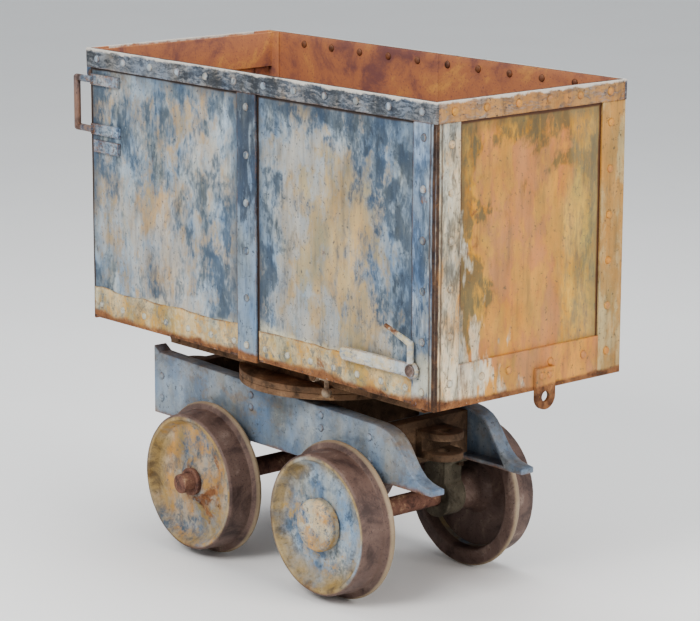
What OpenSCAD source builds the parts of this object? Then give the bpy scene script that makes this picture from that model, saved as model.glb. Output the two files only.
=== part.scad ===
// End-dump mine cart: riveted ore box on a turntable truck with four flanged wheels.
// X runs along the track with the door end at -X, Y across it, Z up from the flange bottoms.

/* [Box] */
// Length over the box plates
box_l = 1318; // [1000:1:1600]
// Width over the box plates
box_w = 608; // [560:1:760]
// Height of the box from its underside to the top of the rim
box_h = 715; // [550:1:900]
// Underside of the box above the wheel flange bottoms
box_z = 580; // [576:1:640]
// Thickness of the side and end plates
plate_t = 6; // [4:0.5:10]
// Thickness of the floor plate
floor_t = 8; // [5:0.5:12]
// Place of the side seam, back from the middle of the box
seam_x = 22; // [-100:1:100]
// Width of the strap over the side seam
strap_w = 72; // [50:1:110]
// Thickness of the straps and angles
strap_t = 6; // [4:0.5:10]
// Leg of the rear corner angles
corner_leg = 72; // [50:1:100]
// Height of the band across the foot of the rear end
band_h = 102; // [60:1:150]
// Height of the rim bar
rim_h = 50; // [35:1:70]
// Thickness of the rim bar
rim_t = 8; // [5:0.5:12]
// Space between the hinge guard plate and the door's swing, and below the rim's top edge
guard_gap = 4; // [3:1:8]
// Leg of the floor angles and door jambs
inner_leg = 50; // [35:1:70]

/* [Rivets] */
// Radius of a rivet head
rivet_r = 10; // [6:0.5:13]
// Height of a rivet head
rivet_h = 5; // [3:0.5:7]
// Pitch of the rim and corner rivets
rim_pitch = 120; // [90:1:180]
// Pitch of the rivets along the foot of the sides
foot_pitch = 96; // [70:1:140]

/* [Door] */
// Thickness of the door plate
door_t = 8; // [5:0.5:12]
// Radius of the door hinge rod
door_rod_r = 10; // [7:0.5:14]
// Height of the hinge rod below the rim bar
door_rod_drop = 20; // [16:1:26]

/* [Handles and lever] */
// Radius of the grab handle rod
handle_r = 9; // [7:0.5:11]
// Reach of the grab handle ahead of the box plates
handle_reach = 44; // [36:1:60]
// Height between the two arms of the grab handle
handle_gap = 130; // [110:1:180]
// Length of the lever arm
lever_l = 232; // [160:1:300]
// Depth of the lever arm
lever_h = 32; // [24:1:40]
// Radius of the lever's horn
horn_r = 8; // [6:0.5:10]

/* [Truck] */
// Distance between the axles
wheelbase = 508; // [470:1:620]
// Truck middle ahead of the box middle
truck_offset = 30; // [0:1:60]
// Track gauge
gauge = 457; // [440:1:520]
// Outer face of the side frames from the middle
frame_y = 172; // [150:1:176]
// Thickness of the side frame web and flanges
frame_t = 11; // [8:0.5:14]
// Width of the side frame flange
frame_flange = 42; // [30:1:55]
// Height of the side frame's lower edge
frame_low = 312; // [300:1:330]
// Height of the side frame's top at the front
frame_high = 480; // [460:1:481]
// Drop of the side frame's top from front to rear
frame_drop = 28; // [0:1:40]
// Reach of the side frame ahead of the front axle
frame_nose = 291; // [250:1:330]
// Reach of the side frame's top behind the rear axle
frame_tail = 87; // [60:1:130]
// Reach of the side frame's toe behind the rear axle
toe_reach = 290; // [230:1:330]

/* [Wheels] */
// Radius of the tread
tread_r = 178; // [150:1:190]
// Depth of the flange below the tread
flange_d = 22; // [16:1:28]
// Thickness of the flange
flange_t = 22; // [16:1:28]
// Width of the tread
tread_w = 66; // [50:1:80]
// Thickness of the wheel rim
wheel_rim_t = 16; // [14:1:30]
// Radius of the hub
hub_r = 54; // [46:1:60]
// Radius of the hub cap
cap_r = 66; // [58:1:74]
// Radius of the axle
axle_r = 25; // [18:1:32]

/* [Turntable and saddle] */
// Radius of the turntable plates
table_r = 250; // [200:1:280]
// Thickness of each turntable plate
table_t = 16; // [10:1:20]
// Radius of the king pin
king_r = 20; // [14:1:28]
// Depth of the saddle sills
sill_h = 50; // [35:1:60]
// Outer face of the saddle sills from the middle
sill_y = 168; // [140:1:190]
// Reach of the tipping hinge ahead of the king pin
hinge_reach = 450; // [430:1:470]
// Radius of the tipping hinge pin
hinge_r = 14; // [10:0.5:18]

/* [Hidden] */
$fn = 48;
run_gap = 0.05;      // radial gap of a shaft that turns in a bore
play = 0.4;          // gap between faces that move past each other
box_top = box_z + box_h;
rim_low = box_top - rim_h;
floor_top = box_z + floor_t;
half_l = box_l / 2;
half_w = box_w / 2;
inner_y = half_w - plate_t;
lug_t = 10;
front_reach = half_l + handle_reach + handle_r;
rear_reach = half_l + strap_t + lug_t + rivet_h;
box_x = (front_reach - rear_reach) / 2;
truck_x = box_x - truck_offset;
door_x = box_x - half_l;             // front edges of the box plates
rear_x = box_x + half_l;             // outer face of the rear plate
seam = box_x + seam_x;

axle_z = tread_r + flange_d;
axle_front_x = truck_x - wheelbase / 2;
axle_rear_x = truck_x + wheelbase / 2;
flange_out = gauge / 2 - 4.5;        // outer side of the flange
flange_in = flange_out - flange_t;
wheel_out = flange_out + tread_w;
box_out_y = frame_y - 4;             // outer end of the axle boxes
collar_t = 6;
hub_in = box_out_y + collar_t + play;
hub_out = wheel_out - 18;            // outer end of the hub
end_out = wheel_out + 26;            // outer end of a bare axle
axle_box_r = 55;
axle_box_w = 60;
cap_out = wheel_out + 12;

frame_front_x = axle_front_x - frame_nose;
frame_rear_x = axle_rear_x + frame_tail;
toe_x = axle_rear_x + toe_reach;
frame_top_rear = frame_high - frame_drop;
nub_h = 16;
nub_l = 22;

table_z = frame_high + 2;            // underside of the lower turntable plate
table_top = table_z + 2 * table_t + play;
sill_top = table_top + sill_h;
sill_flange = 45;
hinge_x = truck_x - hinge_reach;
hinge_z = sill_top - 27;
bearer_z = sill_top + play;          // underside of the box bearers

door_rod_x = door_x - 20;
door_rod_z = rim_low - door_rod_drop;
door_half_w = inner_y;
door_low = box_z - 6;
knuckle_r = door_rod_r + 6;
door_top = door_rod_z - knuckle_r - 10;
door_back = door_x - play;
handle_x = door_x - handle_reach;
handle_y = half_w + strap_t + 6;
handle_top_z = rim_low - 30;
lever_x = rear_x - 55 - strap_t;     // lever pivot
lever_z = box_z + 85;
lever_y = half_w + strap_t + rivet_h + play;   // clears the rivet heads it swings over

steel_blue = "#8797ab";
rust = "#a5673f";
dark = "#4b3c33";
cast_blue = "#7f93aa";

// ---- shared shapes ----
module span(x0, x1, y0, y1, z0, z1) {
    translate([x0, min(y0, y1), z0]) cube([x1 - x0, abs(y1 - y0), z1 - z0]);
}

// A round bar from one point along Y, in either direction
module bar_y(x, z, y0, y1, r) {
    translate([x, min(y0, y1), z]) rotate([-90, 0, 0]) cylinder(r = r, h = abs(y1 - y0));
}

module bar_z(x, y, z0, z1, r) {
    translate([x, y, z0]) cylinder(r = r, h = z1 - z0);
}

module bar_x(x0, x1, y, z, r) {
    translate([x0, y, z]) rotate([0, 90, 0]) cylinder(r = r, h = x1 - x0);
}

// A button head standing on the XY plane
module rivet_head() {
    rotate_extrude($fn = 20)
        polygon([[0, 0], [rivet_r, 0], [rivet_r * 0.86, rivet_h * 0.55], [rivet_r * 0.5, rivet_h * 0.92],
                 [0, rivet_h]]);
}

// A head on a face that looks along -Y (side = -1) or +Y (side = 1)
module rivet_side(x, z, face, side) {
    translate([x, side * face, z]) rotate([side * -90, 0, 0]) rivet_head();
}

// A head on a face that looks along +X (dir = 1) or -X (dir = -1)
module rivet_end(x, y, z, dir = 1) {
    translate([x, y, z]) rotate([0, dir * 90, 0]) rivet_head();
}

// Evenly spread places from one end to the other, no further apart than the pitch
function spread(a, b, pitch) = let (n = max(1, ceil((b - a) / pitch)))
    [for (i = [0 : n]) a + (b - a) * i / n];

module hex_bolt(x, y, z, r, down) {
    translate([x, y, z]) mirror([0, 0, down ? 1 : 0]) cylinder(r = r, h = r * 1.1, $fn = 6);
}

// ---- box ----
module side_plate(x0, x1, side) {
    span(x0, x1, side * inner_y, side * half_w, box_z, box_top);
}

module side_near_front() { color(steel_blue) side_plate(door_x, seam, -1); }
module side_near_rear() { color(steel_blue) side_plate(seam, rear_x, -1); }
module side_far_front() { color(steel_blue) side_plate(door_x, seam, 1); }
module side_far_rear() { color(steel_blue) side_plate(seam, rear_x, 1); }

module rear_end_plate() {
    color(rust) span(rear_x - plate_t, rear_x, -inner_y, inner_y, box_z, box_top);
}

module floor_plate() {
    color(dark) span(door_x, rear_x - plate_t, -inner_y, inner_y, box_z, floor_top);
}

strap_low = box_z - 5;
module seam_strap(side) {
    span(seam - strap_w, seam, side * half_w, side * (half_w + strap_t), strap_low, rim_low);
}

module seam_strap_near() { color(steel_blue) seam_strap(-1); }
module seam_strap_far() { color(steel_blue) seam_strap(1); }

module corner_angle(side) {
    span(rear_x - corner_leg, rear_x + strap_t, side * half_w, side * (half_w + strap_t), strap_low, rim_low);
    span(rear_x, rear_x + strap_t, side * (half_w - corner_leg), side * half_w, strap_low, rim_low);
}

module corner_angle_near() { color(steel_blue) corner_angle(-1); }
module corner_angle_far() { color(rust) corner_angle(1); }

band_y = half_w - corner_leg;
module rear_band() {
    color(rust) span(rear_x, rear_x + strap_t, -band_y, band_y, strap_low, strap_low + band_h);
}

module rim_side(side) {
    span(door_x - rim_t, rear_x + rim_t, side * half_w, side * (half_w + rim_t), rim_low, box_top);
}

module rim_near() { color(steel_blue) rim_side(-1); }
module rim_far() { color(steel_blue) rim_side(1); }
module rim_rear() { color(steel_blue) span(rear_x, rear_x + rim_t, -half_w, half_w, rim_low, box_top); }
module rim_front() { color(steel_blue) span(door_x - rim_t, door_x, -half_w, half_w, rim_low, box_top); }

// Angles that tie the floor to the two sides and the rear end
module floor_angles() {
    jamb_end = door_x + inner_leg;
    rear_in = rear_x - plate_t;
    color(rust) {
        for (side = [-1, 1]) {
            span(jamb_end, rear_in, side * (inner_y - strap_t), side * inner_y, floor_top, floor_top + inner_leg);
            span(jamb_end, rear_in, side * (inner_y - inner_leg), side * (inner_y - strap_t),
                 floor_top, floor_top + strap_t);
        }
        cross_y = inner_y - inner_leg;
        span(rear_in - strap_t, rear_in, -cross_y, cross_y, floor_top, floor_top + inner_leg);
        span(rear_in - inner_leg, rear_in - strap_t, -cross_y, cross_y, floor_top, floor_top + strap_t);
    }
}

// Angles that stiffen the open front edge, with a leg for the door to close on, and a guard
// plate between them that keeps ore off the door's hinge and clears the door's top edge
door_top_reach = norm([door_rod_x - door_back, door_rod_z - door_top]);
guard_x = door_rod_x + door_top_reach + guard_gap;
guard_y = inner_y - strap_t;
module door_jambs() {
    color(rust) span(guard_x, guard_x + plate_t, -guard_y, guard_y, door_top, box_top - guard_gap);
    color(rust) for (side = [-1, 1]) {
        span(door_x, door_x + inner_leg, side * (inner_y - strap_t), side * inner_y, floor_top, box_top);
        span(door_x, door_x + strap_t, side * (inner_y - inner_leg), side * (inner_y - strap_t),
             floor_top, box_top);
    }
}

foot_z = box_z + 36;
strap_rivet_x = seam - strap_w / 2;
corner_rivet_x = rear_x - corner_leg / 2;
module side_rivets(side) {
    foot_face = half_w;
    for (x = spread(door_x + 34, seam - strap_w - 20, foot_pitch)) rivet_side(x, foot_z, foot_face, side);
    for (x = spread(seam + 30, rear_x - corner_leg - 24, foot_pitch)) rivet_side(x, foot_z, foot_face, side);
    for (z = spread(foot_z, rim_low - 34, rim_pitch)) {
        rivet_side(strap_rivet_x, z, half_w + strap_t, side);
        rivet_side(corner_rivet_x, z, half_w + strap_t, side);
    }
}

module rivets_near() { color(steel_blue) side_rivets(-1); }
module rivets_far() { color(steel_blue) side_rivets(1); }

module rivets_rear() {
    face = rear_x + strap_t;
    color(rust) {
        for (side = [-1, 1], z = spread(foot_z + 20, rim_low - 50, rim_pitch))
            rivet_end(face, side * (half_w - corner_leg * 0.6), z);
        for (y = [-0.68 * band_y, -0.3 * band_y, 0.3 * band_y, 0.78 * band_y])
            rivet_end(face, y, strap_low + band_h * 0.62);
    }
}

module rim_rivets() {
    z = rim_low + rim_h * 0.5;
    color(steel_blue) {
        for (side = [-1, 1], x = spread(door_x + 40, rear_x - 40, rim_pitch)) {
            rivet_side(x, z, half_w + rim_t, side);
            if (x > door_x + inner_leg + rivet_r) rivet_side(x, z, -inner_y, side);
        }
        for (y = spread(-half_w + 50, half_w - 50, rim_pitch)) {
            rivet_end(rear_x + rim_t, y, z);
            rivet_end(rear_x - plate_t, y, z, -1);
            rivet_end(door_x - rim_t, y, z, -1);
        }
    }
}

// ---- under the box ----
bearer_w = 70;
bearer_xs = [truck_x - 120, truck_x + hinge_reach - 40];
module box_bearers() {
    color(dark) for (x = bearer_xs)
        span(x, x + bearer_w, -inner_y + 30, inner_y - 30, bearer_z, box_z);
}

box_lug_y = sill_y - sill_flange - 12;
box_lug_w = 24;
module box_hinge_lugs() {
    color(dark) for (side = [-1, 1]) difference() {
        union() {
            span(hinge_x - hinge_r - 12, hinge_x + hinge_r + 12, side * box_lug_y,
                 side * (box_lug_y - box_lug_w), hinge_z, box_z);
            bar_y(hinge_x, hinge_z, side * box_lug_y, side * (box_lug_y - box_lug_w), hinge_r + 12);
        }
        bar_y(hinge_x, hinge_z, side * (box_lug_y + 1), side * (box_lug_y - box_lug_w - 1), hinge_r + run_gap);
    }
}

// Strap with an eye that hangs below the rear end
lug_w = 64;
lug_eye_r = 13;
lug_eye_z = box_z - 22;
lug_y = 46;
module rear_lug() {
    face = rear_x + strap_t;
    color(rust) {
        difference() {
            union() {
                span(face, face + lug_t, lug_y - lug_w / 2, lug_y + lug_w / 2, lug_eye_z, box_z + 48);
                bar_x(face, face + lug_t, lug_y, lug_eye_z, lug_w / 2);
            }
            bar_x(face - 1, face + lug_t + 1, lug_y, lug_eye_z, lug_eye_r);
        }
        rivet_end(face + lug_t, lug_y - 14, box_z + 30);
        rivet_end(face + lug_t, lug_y + 14, box_z + 30);
    }
}

// ---- fittings on the sides ----
strap_len = 118;
handle_strap_h = 28;
module grab_handle(side) {
    rod_y = side * handle_y;
    low_z = handle_top_z - handle_gap;
    difference() {
        union() {
            for (z = [low_z, handle_top_z]) {
                span(door_x + 10, door_x + 10 + strap_len, side * half_w, side * (half_w + strap_t + 4),
                     z - handle_strap_h / 2, z + handle_strap_h / 2);
                bar_x(handle_x, door_x + 24, rod_y, z, handle_r);
                translate([handle_x, rod_y, z]) sphere(r = handle_r);
            }
            bar_z(handle_x, rod_y, low_z, handle_top_z, handle_r);
        }
        span(door_x - 1, door_x + 200, side * (half_w - 30), side * half_w, low_z - 60, handle_top_z + 60);
    }
    for (z = [low_z, handle_top_z], x = [52, 98])
        rivet_side(door_x + x, z, half_w + strap_t + 4, side);
}

module grab_handle_near() { color(steel_blue) grab_handle(-1); }
module grab_handle_far() { color(steel_blue) grab_handle(1); }

module side_lug_near() {
    z = handle_top_z - handle_gap - 44;
    color(steel_blue) {
        span(door_x + 20, door_x + 125, -half_w, -half_w - 9, z - 16, z + 16);
        rivet_side(door_x + 50, z, half_w + 9, -1);
        rivet_side(door_x + 100, z, half_w + 9, -1);
    }
}

stud_r = 11;
lever_t = 8;
module lever_stud() {
    color(dark) {
        bar_y(lever_x, lever_z, -half_w - strap_t, -(lever_y + 12.5), stud_r);
        bar_y(lever_x, lever_z, -(lever_y + lever_t + 1), -(lever_y + 12.5), stud_r + 4);
        bar_y(lever_x, lever_z, -half_w - strap_t, -(lever_y - play), stud_r + 6);
    }
}

// A flat arm with a bent horn rising from its pivot end
horn_up = 64;
horn_back = 86;
horn_lift = 30;
module side_lever() {
    y0 = -lever_y;
    y1 = -(lever_y + lever_t);
    horn_y = -(lever_y + horn_r);
    color(steel_blue) difference() {
        union() {
            bar_y(lever_x, lever_z, y0, y1, lever_h / 2 + 4);
            span(lever_x - lever_l, lever_x, y0, y1, lever_z - lever_h / 2, lever_z + lever_h / 2);
            bar_y(lever_x - lever_l, lever_z, y0, y1, lever_h / 2);
            bar_z(lever_x, horn_y, lever_z + stud_r + 6, lever_z + horn_up, horn_r);
            translate([lever_x, horn_y, lever_z + horn_up]) sphere(r = horn_r);
            translate([lever_x, horn_y, lever_z + horn_up])
                rotate([0, -atan2(horn_back, horn_lift), 0])
                    cylinder(r1 = horn_r, r2 = horn_r * 0.6, h = norm([horn_back, horn_lift]));
        }
        bar_y(lever_x, lever_z, -half_w, -(lever_y + 30), stud_r + run_gap);
    }
}

// ---- door ----
bracket_t = 12;
bracket_y = half_w - 26;
module door_hinge_rod() {
    color(dark) bar_y(door_rod_x, door_rod_z, -bracket_y - bracket_t, bracket_y + bracket_t, door_rod_r);
}

module door_brackets() {
    color(steel_blue) for (side = [-1, 1]) difference() {
        union() {
            span(door_rod_x - knuckle_r, door_x - rim_t, side * bracket_y, side * (bracket_y + bracket_t),
                 door_rod_z, rim_low + 24);
            bar_y(door_rod_x, door_rod_z, side * bracket_y, side * (bracket_y + bracket_t), knuckle_r);
        }
        bar_y(door_rod_x, door_rod_z, side * (bracket_y - 1), side * (bracket_y + bracket_t + 1), door_rod_r);
    }
}

module door_plate() {
    color(steel_blue) span(door_back - door_t, door_back, -door_half_w, door_half_w, door_low, door_top);
}

door_strap_ys = [-0.52 * half_w, 0, 0.52 * half_w];
door_strap_w = 62;
module door_straps() {
    face = door_back - door_t;
    color(steel_blue) for (y = door_strap_ys) difference() {
        union() {
            span(face - strap_t, face, y - door_strap_w / 2, y + door_strap_w / 2, door_low, door_top);
            span(face - strap_t, face, y - door_strap_w / 2, y + door_strap_w / 2, door_top, door_rod_z);
            bar_y(door_rod_x, door_rod_z, y - door_strap_w / 2, y + door_strap_w / 2, knuckle_r);
        }
        bar_y(door_rod_x, door_rod_z, y - door_strap_w, y + door_strap_w, door_rod_r + run_gap);
    }
}

module door_rivets() {
    face = door_back - door_t - strap_t;
    color(steel_blue) for (y = door_strap_ys, z = spread(door_low + 30, door_top - 30, rim_pitch))
        rivet_end(face, y, z, -1);
}

// ---- saddle ----
sill_t = 8;
sill_front = hinge_x - 26;
sill_rear = truck_x + hinge_reach + 60;
sill_slant = 90;

// Channel with its back outward and its tail cut on a slant
module saddle_sill(side) {
    difference() {
        span(sill_front, sill_rear, side * (sill_y - sill_flange), side * sill_y, table_top, sill_top);
        span(sill_front - 1, sill_rear + 1, side * (sill_y - sill_flange - 1), side * (sill_y - sill_t),
             table_top + sill_t, sill_top - sill_t);
        translate([sill_rear, side * (sill_y - sill_flange / 2), table_top])
            rotate([0, -atan2(sill_slant, sill_h), 0])
                translate([0, -sill_flange, -3 * sill_h]) cube([sill_slant, 2 * sill_flange, 6 * sill_h]);
        bar_y(hinge_x, hinge_z, side * (sill_y - sill_t - 1), side * (sill_y + 1), hinge_r);
    }
}

module saddle_sill_near() { color(dark) saddle_sill(-1); }
module saddle_sill_far() { color(dark) saddle_sill(1); }

crossbar_w = 60;
crossbar_xs = [truck_x - table_r + 20, truck_x + table_r - 20 - crossbar_w];
module saddle_crossbars() {
    in_y = sill_y - sill_flange;
    color(dark) for (x = crossbar_xs) span(x, x + crossbar_w, -in_y, in_y, table_top, sill_top - 8);
}

module turntable_top() {
    color(dark) translate([truck_x, 0, table_top - table_t]) difference() {
        cylinder(r = table_r, h = table_t, $fn = 96);
        translate([0, 0, -1]) cylinder(r = king_r + run_gap, h = table_t + 2);
    }
}

pin_head = 8;
module tip_hinge_pin() {
    color(dark) {
        bar_y(hinge_x, hinge_z, -sill_y - 1, sill_y + 1, hinge_r);
        bar_y(hinge_x, hinge_z, -sill_y - 1 - pin_head, -sill_y - 1, hinge_r + 5);
        bar_y(hinge_x, hinge_z, sill_y + 1, sill_y + 1 + pin_head, hinge_r + 5);
    }
}

lock_x = truck_x + table_r * 0.62;
lock_z = sill_top - 18;
lock_r = 8;
lock_y = table_r * 0.8;              // clear of the turntable's edge at this place
module lock_stud() {
    color(dark) {
        bar_y(lock_x, lock_z, -sill_y, -(lock_y + 14), lock_r);
        bar_y(lock_x, lock_z, -(lock_y + 14), -(lock_y + 18), lock_r + 4);
        bar_y(lock_x, lock_z, -sill_y, -(lock_y - 2), lock_r + 4);
    }
}

// Bent rod with a ball that drops beside the turntable's edge
lock_drop = frame_high + 32;
module lock_lever() {
    y = -(lock_y + 7);
    color("#9c8468") difference() {
        union() {
            bar_y(lock_x, lock_z, -(lock_y - 1.5), -(lock_y + 13.5), lock_r + 6);
            bar_x(lock_x, lock_x + 44, y, lock_z, 6);
            translate([lock_x + 44, y, lock_z]) sphere(r = 6);
            bar_z(lock_x + 44, y, lock_drop, lock_z, 6);
            translate([lock_x + 44, y, lock_drop]) sphere(r = 13);
        }
        bar_y(lock_x, lock_z, -(lock_y - 3), -(lock_y + 20), lock_r + run_gap);
    }
}

// ---- truck ----
module turntable_base() {
    color(dark) translate([truck_x, 0, table_z]) difference() {
        cylinder(r = table_r, h = table_t, $fn = 96);
        translate([0, 0, -1]) cylinder(r = king_r, h = table_t + 2);
    }
}

transom_h = 90;
module king_pin() {
    low = table_z - transom_h - 20;
    color(dark) {
        bar_z(truck_x, 0, low, table_top + 6, king_r);
        translate([truck_x, 0, table_top + 6]) cylinder(r = king_r + 14, h = 14, $fn = 6);
    }
}

// Outline of a side frame, drawn smaller by an inset: a deep plate whose tail swells, then
// sweeps out flat into a blunt toe
tail_steps = 12;
tail_bow = 17;
toe_h = 15;
function tail_point(i, inset) =
    let (s = i / tail_steps, run = toe_x - frame_rear_x, rise = frame_top_rear - frame_low - toe_h,
         len = norm([run, rise]), nx = rise / len, nz = run / len, bow = tail_bow * sin(360 * s) - inset)
    [frame_rear_x + run * s + nx * bow, frame_top_rear - rise * s + nz * bow];
function frame_outline(inset) =
    let (first = inset > 0 ? 1 : 0, front = frame_front_x + inset, low = frame_low + inset)
    concat(
        [[front, low]],
        inset > 0 ? [[front, frame_high - inset]]
                  : [[front, frame_high + nub_h], [frame_front_x + nub_l, frame_high]],
        [for (i = [first : tail_steps - 4 * first]) tail_point(i, inset)],
        [[inset > 0 ? tail_point(tail_steps - 3, inset)[0] : toe_x, low]]);

module frame_solid(inset, y0, y1, side) {
    translate([0, side > 0 ? y1 : -y0, 0]) rotate([90, 0, 0])
        linear_extrude(height = y1 - y0) polygon(frame_outline(inset));
}

module side_frame(side) {
    difference() {
        frame_solid(0, frame_y - frame_flange, frame_y, side);
        frame_solid(frame_t, frame_y - frame_flange - 1, frame_y - frame_t, side);
    }
}

module side_frame_near() { color(cast_blue) side_frame(-1); }
module side_frame_far() { color(cast_blue) side_frame(1); }

// Cross members between the side frame webs: two carry the turntable and two close the ends
transom_w = 70;
end_beam_h = 110;
transom_xs = [truck_x - table_r * 0.55 - transom_w / 2, truck_x + table_r * 0.55 - transom_w / 2];
end_beam_xs = [frame_front_x + frame_t, frame_rear_x - 30];
module transoms() {
    in_y = frame_y - frame_flange;
    color(dark) {
        for (x = transom_xs) span(x, x + transom_w, -in_y, in_y, table_z - transom_h, table_z);
        span(transom_xs[0] + transom_w, transom_xs[1], -60, -king_r, table_z - 30, table_z);
        span(transom_xs[0] + transom_w, transom_xs[1], king_r, 60, table_z - 30, table_z);
        for (x = end_beam_xs) span(x, x + 40, -in_y, in_y, frame_low + 20, frame_low + 20 + end_beam_h);
    }
}

pocket_w = 96;
pocket_h = 70;
pocket_slot = 34;
coupler_r = 15;
pocket_z = frame_low + 20 + end_beam_h / 2;
module draw_pocket(x, reach, dir) {
    translate([x, 0, pocket_z]) mirror([dir > 0 ? 0 : 1, 0, 0]) difference() {
        union() {
            span(0, reach - pocket_w / 2, -pocket_w / 2, pocket_w / 2, -pocket_h / 2, pocket_h / 2);
            translate([reach - pocket_w / 2, 0, -pocket_h / 2]) cylinder(r = pocket_w / 2, h = pocket_h);
        }
        span(24, reach + 1, -pocket_w, pocket_w, -pocket_slot / 2, pocket_slot / 2);
        translate([reach - pocket_w / 2, 0, -pocket_h]) cylinder(r = coupler_r, h = 2 * pocket_h);
    }
}

pocket_reach = 100;
module draw_pocket_front() { color(dark) draw_pocket(end_beam_xs[0], pocket_reach, -1); }
module draw_pocket_rear() { color(dark) draw_pocket(end_beam_xs[1] + 40, pocket_reach, 1); }

module frame_bolts() {
    color(cast_blue) for (side = [-1, 1]) {
        for (x = [transom_xs[0] + transom_w / 2, transom_xs[1] + transom_w / 2], z = [table_z - 46, table_z - 78])
            rivet_side(x, z, frame_y, side);
        for (x = [end_beam_xs[0] + 22, end_beam_xs[1] + 8], z = [frame_low + 45, frame_low + 105])
            rivet_side(x, z, frame_y, side);
    }
}

box_in_y = box_out_y - axle_box_w;
box_foot_w = 124;
foot_bolt_x = 50;
module axle_box(x, side) {
    difference() {
        union() {
            bar_y(x, axle_z, side * box_in_y, side * box_out_y, axle_box_r);
            span(x - 38, x + 38, side * box_in_y, side * box_out_y, axle_z, frame_low);
            span(x - box_foot_w / 2, x + box_foot_w / 2, side * box_in_y, side * box_out_y, frame_low - 16,
                 frame_low);
        }
        bar_y(x, axle_z, side * (box_in_y - 1), side * (box_out_y + 1), axle_r);
    }
}

module axle_boxes() {
    color("#7d8068") for (x = [axle_front_x, axle_rear_x], side = [-1, 1]) axle_box(x, side);
}

module axle_box_bolts() {
    y = frame_y - frame_flange / 2;
    color(dark) for (x = [axle_front_x, axle_rear_x], dx = [-foot_bolt_x, foot_bolt_x], side = [-1, 1])
        hex_bolt(x + dx, side * y, frame_low - 16, 10, true);
}

module axle(x, out) { bar_y(x, axle_z, -out, out, axle_r); }
module axle_front() { color(rust) axle(axle_front_x, end_out); }
module axle_rear() { color(rust) axle(axle_rear_x, wheel_out - 4); }

// Thrust collars inside the hubs, and retaining collars outside them
module axle_collars() {
    keep_t = 12;
    color(rust) for (x = [axle_front_x, axle_rear_x], side = [-1, 1]) {
        difference() {
            bar_y(x, axle_z, side * box_out_y, side * (box_out_y + collar_t), axle_r + 14);
            bar_y(x, axle_z, side * (box_out_y - 1), side * (box_out_y + collar_t + 1), axle_r);
        }
        difference() {
            bar_y(x, axle_z, side * (hub_out + play), side * (hub_out + play + keep_t), axle_r + 11);
            bar_y(x, axle_z, side * hub_out, side * (hub_out + play + keep_t + 1), axle_r);
        }
    }
}

// ---- wheels ----
// Half section: distance from the axle, then distance from the middle of the truck
module wheel(x, side) {
    rim_in = tread_r - wheel_rim_t;
    web_out = wheel_out - 26;
    web_in = web_out - 16;
    translate([x, 0, axle_z]) rotate([side > 0 ? -90 : 90, 0, 0]) rotate_extrude($fn = 72)
        polygon([
            [axle_r + run_gap, hub_in], [hub_r - 8, hub_in], [hub_r, web_in - 20], [hub_r + 14, web_in],
            [rim_in - 10, web_in - 4], [rim_in - 4, flange_in + 4], [rim_in, flange_in],
            [tread_r + flange_d - 8, flange_in],
            [tread_r + flange_d - 1, flange_in + 4], [tread_r + flange_d, flange_in + flange_t * 0.45],
            [tread_r + flange_d - 4, flange_in + flange_t * 0.8], [tread_r + 4, flange_out],
            [tread_r, wheel_out - 5], [tread_r - 4, wheel_out], [rim_in + 2, wheel_out],
            [rim_in, wheel_out - 3], [rim_in - 12, web_out + 3], [rim_in - 24, web_out],
            [hub_r + 10, web_out], [hub_r + 2, web_out + 3],
            [hub_r, hub_out - 4], [hub_r - 4, hub_out], [axle_r + run_gap, hub_out]
        ]);
}

module wheel_front_near() { color(cast_blue) wheel(axle_front_x, -1); }
module wheel_front_far() { color(cast_blue) wheel(axle_front_x, 1); }
module wheel_rear_near() { color(cast_blue) wheel(axle_rear_x, -1); }
module wheel_rear_far() { color(cast_blue) wheel(axle_rear_x, 1); }

// Hollow cap over the end of the rear axle, seated on the wheel's hub
module hub_cap(side) {
    translate([axle_rear_x, 0, axle_z]) rotate([side > 0 ? -90 : 90, 0, 0]) rotate_extrude()
        polygon([
            [0, cap_out - 8], [axle_r + 17, cap_out - 8], [axle_r + 17, hub_out], [cap_r - 12, hub_out],
            [cap_r - 12, hub_out - 3], [cap_r, hub_out - 3], [cap_r, cap_out - 12], [cap_r - 5, cap_out - 4],
            [cap_r - 18, cap_out], [0, cap_out]
        ]);
}

module hub_cap_near() { color(cast_blue) hub_cap(-1); }
module hub_cap_far() { color(cast_blue) hub_cap(1); }

side_near_front();
side_near_rear();
side_far_front();
side_far_rear();
rear_end_plate();
floor_plate();
seam_strap_near();
seam_strap_far();
corner_angle_near();
corner_angle_far();
rear_band();
rim_near();
rim_far();
rim_rear();
rim_front();
floor_angles();
door_jambs();
rivets_near();
rivets_far();
rivets_rear();
rim_rivets();
box_bearers();
box_hinge_lugs();
rear_lug();
grab_handle_near();
grab_handle_far();
side_lug_near();
lever_stud();
side_lever();
door_hinge_rod();
door_brackets();
door_plate();
door_straps();
door_rivets();
saddle_sill_near();
saddle_sill_far();
saddle_crossbars();
turntable_top();
tip_hinge_pin();
lock_stud();
lock_lever();
turntable_base();
king_pin();
side_frame_near();
side_frame_far();
transoms();
draw_pocket_front();
draw_pocket_rear();
frame_bolts();
axle_boxes();
axle_box_bolts();
axle_front();
axle_rear();
axle_collars();
wheel_front_near();
wheel_front_far();
wheel_rear_near();
wheel_rear_far();
hub_cap_near();
hub_cap_far();
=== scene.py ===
import bmesh
import bpy
from math import cos, pi, radians, sin
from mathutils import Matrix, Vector, noise


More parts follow.
